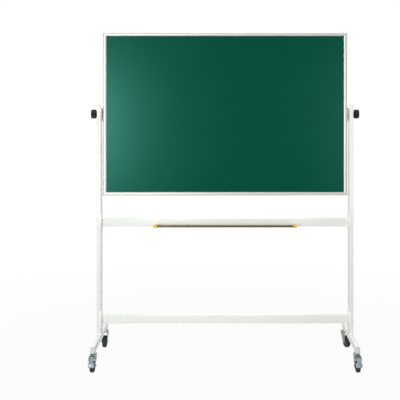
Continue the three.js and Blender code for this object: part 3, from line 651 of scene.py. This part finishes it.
def addFoot(sideName):
    # the tube with a bore for each caster's stem, and its two caps
    low, high = boxOf(f"foot_{sideName}")
    middle = (low + high) / 2
    width, height = (high - low)[[0, 2]]
    wall, radius = tubeWalls["foot"], stemBore["radius"]
    foot = addPiece(f"foot_tube_{sideName}", [tube(low, high, "y", wall)], "powderCoatWhite", "stand",
                    [f"foot_{sideName}"])
    bore = [[radius, low[2] - drillBeyond], [radius, low[2] + stemBore["depth"]]]
    stems = [np.mean(boxOf(f"caster_head_{endName}_{sideName}"), axis=0) for endName in endNames]
    drill(foot, [shell(turned(bore, "z", [stem[0], stem[1], 0], smallRound)) for stem in stems])
    for endName, end in endNames.items():
        place = [middle[0], high[1] if end > 0 else low[1], middle[2]]
        addPiece(f"foot_end_{endName}_{sideName}", [cap(width, height, wall, "y", place, end)],
                 "polypropyleneGrey", "stand", [f"foot_cap_{endName}_{sideName}"],
                 smooth=capShape["smooth"])


def addWeld(sideName):
    # round the post, where it stands on its foot
    low, high = boxOf(f"post_{sideName}")
    middle = (low + high) / 2
    width, depth = (high - low)[:2]
    level = edgeOf(f"foot_{sideName}", "z", 1) + weldBead["rise"]
    addPiece(f"weld_{sideName}", [weldRound(width, depth, [middle[0], middle[1], level])], "powderCoatWhite",
             "stand", smooth=weldBead["smooth"])


def addCrossbar(level):
    # the tube, and at each end its bracket with two bolts on the post's outer face
    low, high = boxOf(f"crossbar_{level}")
    middle = (low[2] + high[2]) / 2
    addPiece(f"crossbar_tube_{level}", [tube(low, high, "x", tubeWalls["crossbar"])], "powderCoatWhite",
             "stand", [f"crossbar_{level}"])
    for sideName, side in sideNames.items():
        refined(f"bracket_plate_{level}_{sideName}", f"bracket_{level}_{sideName}", "powderCoatWhite",
                "stand", bracketEdge)
        outer = edgeOf(f"post_{sideName}", "x", side)
        heads = []
        for end in (-1, 1):
            heads += bolt("x", [outer, pivot[1], middle + end * bracketBolt["fromMiddle"]], side,
                          bracketBolt["across"], bracketBolt["height"], bracketBolt["washer"])
        addPiece(f"bracket_bolts_{level}_{sideName}", heads, "zincPlatedSteel", "stand",
                 bevel=boltHead["edge"])


for sideName in sideNames:
    addPost(sideName)
    addFoot(sideName)
    addWeld(sideName)
for level in ("upper", "lower"):
    addCrossbar(level)
print("stand made")

# Chalk tray: a channel whose front lip ends in a bead
trayShape = {"wall": 1.8, "lip": 11, "back": 3.5, "softness": (0.5, 0.6, 0.6, 1.2), "corner": 4, "bead": 2.2,
             "bendPoints": 8, "beadPoints": 18, "stations": 9}


def trayProfile(low, high, shape):
    # points in (y, z): up the flange, back down inside it, over the floor, round the corner, up and round
    # the bead, and back along the underside
    front, back, floor = low[1], high[1], low[2]
    wall, corner, bead = shape["wall"], shape["corner"], shape["bead"]
    flange = softened([[back, floor], [back, floor + shape["back"]], [back - wall, floor + shape["back"]],
                       [back - wall, floor + wall]], shape["softness"])
    bend = onCircle(np.linspace(1.5 * math.pi, math.pi, shape["bendPoints"]))
    centre = np.array([front + corner, floor + corner])
    beadFoot = math.acos((wall - bead) / bead)
    crest = np.array([front + bead, floor + shape["lip"] - bead])
    curl = crest + bead * onCircle(np.linspace(-beadFoot, math.pi, shape["beadPoints"]))
    return np.concatenate([flange, centre + (corner - wall) * bend, curl, centre + corner * bend[::-1]])


trayLow, trayHigh = boxOf("chalk_tray")
trayLoops = carry(trayProfile(trayLow, trayHigh, trayShape),
                  np.linspace(trayLow[0], trayHigh[0], trayShape["stations"]), "x")
addPiece("tray_channel", [shell(trayLoops)], "bronzeAnodised", "stand", ["chalk_tray"],
         ownMap=aroundAndAlong(trayLoops, "x"))

# Its ends: moulded blocks that slope from the lip down to the crossbar, slotted for the channel
trayEndShape = {"corner": 6, "cornerPoints": 7, "backHeight": 9.6, "crest": 9, "edge": 0.7, "gap": 0.3}


def trayEnd(low, high, side, shape):
    # five-cornered outlines in (y, z), whose front draws back by r (1 - cos t) as x nears the end by r sin t
    t = np.linspace(0, math.pi / 2, shape["cornerPoints"])
    inner, outer = (low[0], high[0]) if side > 0 else (high[0], low[0])
    stations = np.append(inner, outer - side * shape["corner"] * (1 - np.sin(t)))
    front = low[1] + np.append(0, shape["corner"] * (1 - np.cos(t)))
    back, crest = np.full_like(front, high[1]), np.full_like(front, low[1] + shape["crest"])
    across = np.stack([front, back, back, crest, front], axis=-1)
    upwards = np.broadcast_to([low[2], low[2], low[2] + shape["backHeight"], high[2], high[2]], across.shape)
    return shell(carry(np.stack([across, upwards], axis=-1), stations, "x"))


def traySlot(low, high, side, shape, gap):
    # the channel's lip, floor and flange as straight-sided slots, wider by the gap
    front, back, floor = low[1] - gap, high[1] + gap, low[2] - gap
    behindLip, flange = low[1] + 2 * shape["bead"] + gap, high[1] - shape["wall"] - gap
    lipTop, floorTop, flangeTop = low[2] + np.array([shape["lip"], shape["wall"], shape["back"]]) + gap
    outline = [[front, floor], [back, floor], [back, flangeTop], [flange, flangeTop], [flange, floorTop],
               [behindLip, floorTop], [behindLip, lipTop], [front, lipTop]]
    end = high[0] + gap if side > 0 else low[0] - gap
    return shell(carry(outline, [0, end], "x"))


for sideName, side in sideNames.items():
    block = trayEnd(*boxOf(f"tray_cap_{sideName}"), side, trayEndShape)
    piece = addPiece(f"tray_end_{sideName}", [block], "absYellow", "stand", [f"tray_cap_{sideName}"],
                     bevel=trayEndShape["edge"])
    drill(piece, [traySlot(trayLow, trayHigh, side, trayShape, trayEndShape["gap"])])
print("tray made")

# Casters, four alike: a head fixed to the foot, a pressed fork, and a tyre on a ribbed wheel centre
casterHead = {
    "centre": 2, "rivetRadius": 9, "rivetTip": 7.5, "rivetHeight": 3, "stemRadius": 5, "raceRadius": 19,
    "raceHeight": 8, "plateRadius": 16, "plateHeight": 2.6, "underFoot": 0.3,
    "softness": (0, 1, 0.6, 0.3, 0.3, 1.0, 1.6, 1.2, 0.3, 0.8, 0), "segments": 56,
}
tyre = {"width": 25, "seat": 28.2, "sidewall": 6, "shoulderDrop": 1.2, "shoulder": 2.2,
        "softness": (0.4, 1.6, 3, 9, 3, 1.6, 0.4), "edgeSteps": 6, "segments": 96, "smooth": 50}
wheelCentre = {
    "width": 30.4, "bore": 4.3, "hubRadius": 11, "hubWeb": 9, "rimInside": 23.5, "rimOutside": 28.1,
    "rimWidth": 22, "rimWeb": 6.4, "softness": (0.5, 1, 1.5, 1.5, 0.8, 0.6), "segments": 64,
    "ribs": 8, "ribWidth": 2.4, "ribSpan": (10.5, 24), "ribDepth": 19,
}
axleBolt = {"radius": 4, "width": 45.6, "across": 11, "height": 4, "overlap": 0.1}
pressedEdge = {"fork": 0.7, "pedal": 0.6}
axleOf = {joint["child"]: joint["axis"] for joint in frame["record"]["behaviour"]["joints"]}


def casterHeadProfile(base, top, foot, head):
    # (radius, height) from the riveted end of the kingpin, past the race under the foot, to the stem's top
    centre, stem, race = head["centre"], head["stemRadius"], head["raceRadius"]
    raceTop, rivetTop = foot - head["underFoot"], base + head["rivetHeight"]
    raceBase = raceTop - head["raceHeight"]
    corners = [[centre, base], [head["rivetTip"], base], [head["rivetRadius"], rivetTop], [stem, rivetTop],
               [stem, raceBase], [race, raceBase], [race, raceTop - head["plateHeight"]],
               [head["plateRadius"], raceTop], [stem, raceTop], [stem, top], [centre, top]]
    return softened(corners, head["softness"])


def swivelled(shells, where, centre):
    # shells that were made along x are turned about the wheel's centre, on the level, to its real axle
    along, across = axleOf[f"wheel_{where}"][:2]
    turnAbout = np.array([[along, across, 0], [-across, along, 0], [0, 0, 1]])
    return [((points - centre) @ turnAbout + centre, faces) for points, faces in shells]


def addHead(where, foot):
    # kingpin, race and stem in one turned shape
    low, high = boxOf(f"caster_head_{where}")
    centre = (low + high) / 2
    head = turned(casterHeadProfile(low[2], high[2], foot, casterHead), "z", [centre[0], centre[1], 0],
                  casterHead["segments"])
    addPiece(f"caster_race_{where}", [shell(head)], "zincPlatedSteel", "stand", [f"caster_head_{where}"])


def addTyre(where, centre):
    # a profile turned round the axle: flat sidewalls, soft shoulders, and a crowned tread
    tread, half = centre[2], tyre["width"] / 2
    wall, shoulder = tread - tyre["sidewall"], tread - tyre["shoulderDrop"]
    shoulderAt = half - tyre["shoulder"]
    profile = softened([[tyre["seat"], -half], [wall, -half], [shoulder, -shoulderAt], [tread, 0],
                        [shoulder, shoulderAt], [wall, half], [tyre["seat"], half]],
                       tyre["softness"], tyre["edgeSteps"])
    ring = [shell(turned(profile, "x", centre, tyre["segments"]), ring=True)]
    addPiece(f"tyre_ring_{where}", swivelled(ring, where, centre), "rubberGrey", f"wheel_{where}",
             [f"tyre_{where}"], smooth=tyre["smooth"])


def addWheelCentre(where, centre):
    # half the profile, from the hub's end over the web to the rim, and its mirror; then ribs from hub to rim
    shape = wheelCentre
    bore, hub, inside, outside = shape["bore"], shape["hubRadius"], shape["rimInside"], shape["rimOutside"]
    reach, hubWeb, rimWeb, rim = (shape[name] / 2 for name in ("width", "hubWeb", "rimWeb", "rimWidth"))
    half = np.array([[bore, -reach], [hub, -reach], [hub, -hubWeb], [inside, -rimWeb], [inside, -rim],
                     [outside, -rim]])
    softness = shape["softness"]
    profile = softened(np.concatenate([half, half[::-1] * [1, -1]]), softness + softness[::-1])
    shells = [shell(turned(profile, "x", centre, shape["segments"]), ring=True)]
    start, end = shape["ribSpan"]
    halfRib, ribEnd = shape["ribWidth"] / 2, shape["ribDepth"] / 2
    outline = np.array([[start, -halfRib], [end, -halfRib], [end, halfRib], [start, halfRib]])
    for angle in np.arange(shape["ribs"]) * 2 * math.pi / shape["ribs"]:
        spin = np.array([[math.cos(angle), math.sin(angle)], [-math.sin(angle), math.cos(angle)]])
        shells.append(shell(carry(outline @ spin, [-ribEnd, ribEnd], "x", centre)))
    addPiece(f"wheel_centre_{where}", swivelled(shells, where, centre), "polypropyleneWheel",
             f"wheel_{where}", [f"wheel_hub_{where}"])


def addAxle(where):
    # a plain shank that ends just inside a hexagon head on either side
    centre = np.mean(boxOf(f"axle_{where}"), axis=0)
    grip = axleBolt["width"] / 2 - axleBolt["height"]
    radius, shank = axleBolt["radius"], grip + axleBolt["overlap"]
    axle = [shell(turned([[radius, -shank], [radius, shank]], "x", centre, smallRound))]
    for end in (-1, 1):
        axle += bolt("x", centre + [end * grip, 0, 0], end, axleBolt["across"], axleBolt["height"])
    addPiece(f"axle_bolt_{where}", swivelled(axle, where, centre), "zincPlatedSteel", f"swivel_{where}",
             [f"axle_{where}"], bevel=boltHead["edge"])


for sideName in sideNames:
    for endName in endNames:
        where = f"{endName}_{sideName}"
        wheelMiddle = np.mean(boxOf(f"tyre_{where}"), axis=0)
        addHead(where, edgeOf(f"foot_{sideName}", "z", -1))
        refined(f"fork_pressing_{where}", f"caster_fork_{where}", "zincPlatedPressing", f"swivel_{where}",
                pressedEdge["fork"])
        addTyre(where, wheelMiddle)
        addWheelCentre(where, wheelMiddle)
        addAxle(where)
    refined(f"pedal_pressing_{sideName}", f"brake_pedal_front_{sideName}", "blueZincPlate",
            f"brake_front_{sideName}", pressedEdge["pedal"])
print("casters made")


# Studio: a pale floor and backdrop that the camera, gloss and glass see as white, and soft lamps. Places and
# sizes are in metres; asideSpan and glossSpan are shares of a direction, floorGlossSpan is a piece of floor.
studio = {
    "floorColour": "#a2a2a0", "floorReach": 16, "floorLevel": -0.0004, "floorGlow": (0.95, 1.0),
    "floorFade": (1.2, 3.0), "floorGlossSpan": (-1.6, -0.4),
    "ambient": 0.56, "ambientAside": 0.38, "asideSpan": (0.3, 0.9), "ambientAbove": 0.34,
    "glossInFront": 0.28, "glossSpan": (-0.75, -0.05), "aim": (0, 0, 1.1),
    "keyPlace": (-1.78, -4.3, 1.28), "keySize": (0.8, 1.4), "keyPower": 88,
    "fillPlace": (1.95, -4.2, 1.3), "fillSize": (0.8, 1.6), "fillPower": 24,
    "topPlace": (0.0, -0.6, 4.4), "topSize": (3.0, 2.0), "topPower": 28,
    "backPlace": (0.0, 4.2, 2.6), "backSize": (2.4, 2.0), "backPower": 60,
}


def seenAsBright(tree):
    # 1 for rays that come from the camera, or by way of gloss or glass
    path = addNode(tree, "ShaderNodeLightPath").outputs
    both = addNode(tree, "ShaderNodeMath", {0: path["Is Camera Ray"], 1: path["Is Glossy Ray"]},
                   operation="MAXIMUM")
    return addNode(tree, "ShaderNodeMath", {0: both.outputs[0], 1: path["Is Transmission Ray"]},
                   operation="MAXIMUM").outputs[0]


def whiteness(tree, value, span, inFront):
    # 1 for the camera, and for gloss from inFront up to 1 as the value crosses its span
    front, back = span
    gloss = addNode(tree, "ShaderNodeMapRange", {"Value": value, "From Min": front, "From Max": back,
                                                 "To Min": inFront, "To Max": 1.0}).outputs[0]
    path = addNode(tree, "ShaderNodeLightPath").outputs
    return addNode(tree, "ShaderNodeMix", {0: path["Is Camera Ray"], 2: gloss, 3: 1.0}).outputs[0]


def addSurround(look):
    # white for the camera; as a light, weaker towards the side walls and stronger above
    world = bpy.data.worlds.new("studio")
    bpy.context.scene.world = world
    tree = emptyTree(world)
    direction = addNode(tree, "ShaderNodeTexCoord").outputs["Generated"]
    split = addNode(tree, "ShaderNodeSeparateXYZ", {"Vector": direction}).outputs
    aside = addNode(tree, "ShaderNodeMath", {0: split["X"]}, operation="ABSOLUTE").outputs[0]
    inner, outer = look["asideSpan"]
    level = addNode(tree, "ShaderNodeMapRange", {"Value": aside, "From Min": inner, "From Max": outer,
                                                 "To Min": look["ambient"], "To Max": look["ambientAside"]})
    above = addNode(tree, "ShaderNodeMapRange", {"Value": split["Z"], "To Max": look["ambientAbove"]})
    lit = addNode(tree, "ShaderNodeMath", {0: level.outputs[0], 1: above.outputs[0]},
                  operation="ADD").outputs[0]
    seen = whiteness(tree, split["Y"], look["glossSpan"], look["glossInFront"])
    strength = addNode(tree, "ShaderNodeMix", {0: seenAsBright(tree), 2: lit, 3: seen}).outputs[0]
    sky = addNode(tree, "ShaderNodeBackground", {"Color": (1, 1, 1, 1), "Strength": strength})
    addNode(tree, "ShaderNodeOutputWorld", {"Surface": sky.outputs[0]})


def makeFloorPaint(look):
    # matt paint for the light, and for the camera a white glow, which gives way a little to the paint near
    # the object, so that its shadow shows
    material = bpy.data.materials.new("paintedFloor")
    tree = emptyTree(material)
    paint = addNode(tree, "ShaderNodeBsdfDiffuse", {"Color": srgb(look["floorColour"])})
    place = addNode(tree, "ShaderNodeTexCoord").outputs["Object"]
    depth = addNode(tree, "ShaderNodeSeparateXYZ", {"Vector": place}).outputs["Y"]
    seen = whiteness(tree, depth, look["floorGlossSpan"], look["glossInFront"])
    glow = addNode(tree, "ShaderNodeEmission", {"Color": (1, 1, 1, 1), "Strength": seen})
    away = addNode(tree, "ShaderNodeVectorMath", {0: place}, operation="LENGTH").outputs["Value"]
    near, far = look["floorFade"]
    glowNear, glowFar = look["floorGlow"]
    glowing = addNode(tree, "ShaderNodeMapRange", {"Value": away, "From Min": near, "From Max": far,
                                                   "To Min": glowNear, "To Max": glowFar}).outputs[0]
    share = addNode(tree, "ShaderNodeMath", {0: seenAsBright(tree), 1: glowing}, operation="MULTIPLY")
    mixed = addNode(tree, "ShaderNodeMixShader", {0: share.outputs[0], 1: paint.outputs[0],
                                                  2: glow.outputs[0]})
    addNode(tree, "ShaderNodeOutputMaterial", {"Surface": mixed.outputs[0]})
    return material


def addFloor(look):
    reach, level = look["floorReach"], look["floorLevel"]
    mesh = bpy.data.meshes.new("floor")
    mesh.from_pydata([(-reach, -reach, level), (reach, -reach, level), (reach, reach, level),
                      (-reach, reach, level)], [], [(0, 1, 2, 3)])
    mesh.materials.append(makeFloorPaint(look))
    floor = bpy.data.objects.new("floor", mesh)
    bpy.context.scene.collection.objects.link(floor)


def addLamps(look):
    # each lamp looks from its place at the same point
    for name in ("key", "fill", "top", "back"):
        lamp = bpy.data.lights.new(f"{name}Lamp", "AREA")
        lamp.shape = "RECTANGLE"
        lamp.size, lamp.size_y = look[f"{name}Size"]
        lamp.energy = look[f"{name}Power"]
        holder = bpy.data.objects.new(f"{name}Lamp", lamp)
        bpy.context.scene.collection.objects.link(holder)
        holder.location = look[f"{name}Place"]
        x, y, z = np.array(look["aim"]) - np.array(look[f"{name}Place"])
        holder.rotation_euler = (math.atan2(math.hypot(x, y), -z), 0, math.atan2(-x, y))


addSurround(studio)
addFloor(studio)
addLamps(studio)

# Camera: level, in front of the board's middle, at standing eye height, with its picture shifted sideways
# and down as a view camera's is. Sizes are in metres, and in millimetres for the lens and the sensor.
cameraView = {"distance": 4.52, "height": 1.568, "lens": 66.06, "sensor": 36, "shiftX": -0.0628,
              "shiftY": -0.2425, "farthest": 60}
camera = bpy.data.cameras.new("photoCamera")
camera.sensor_width = cameraView["sensor"]
camera.lens = cameraView["lens"]
camera.shift_x = cameraView["shiftX"]
camera.shift_y = cameraView["shiftY"]
camera.clip_end = cameraView["farthest"]
cameraHolder = bpy.data.objects.new("photoCamera", camera)
bpy.context.scene.collection.objects.link(cameraHolder)
cameraHolder.location = (0, pivot[1] / metre - cameraView["distance"], cameraView["height"])
cameraHolder.rotation_euler = (math.radians(90), 0, 0)
bpy.context.scene.camera = cameraHolder
bpy.context.scene.view_settings.view_transform = "Standard"
print("studio made")
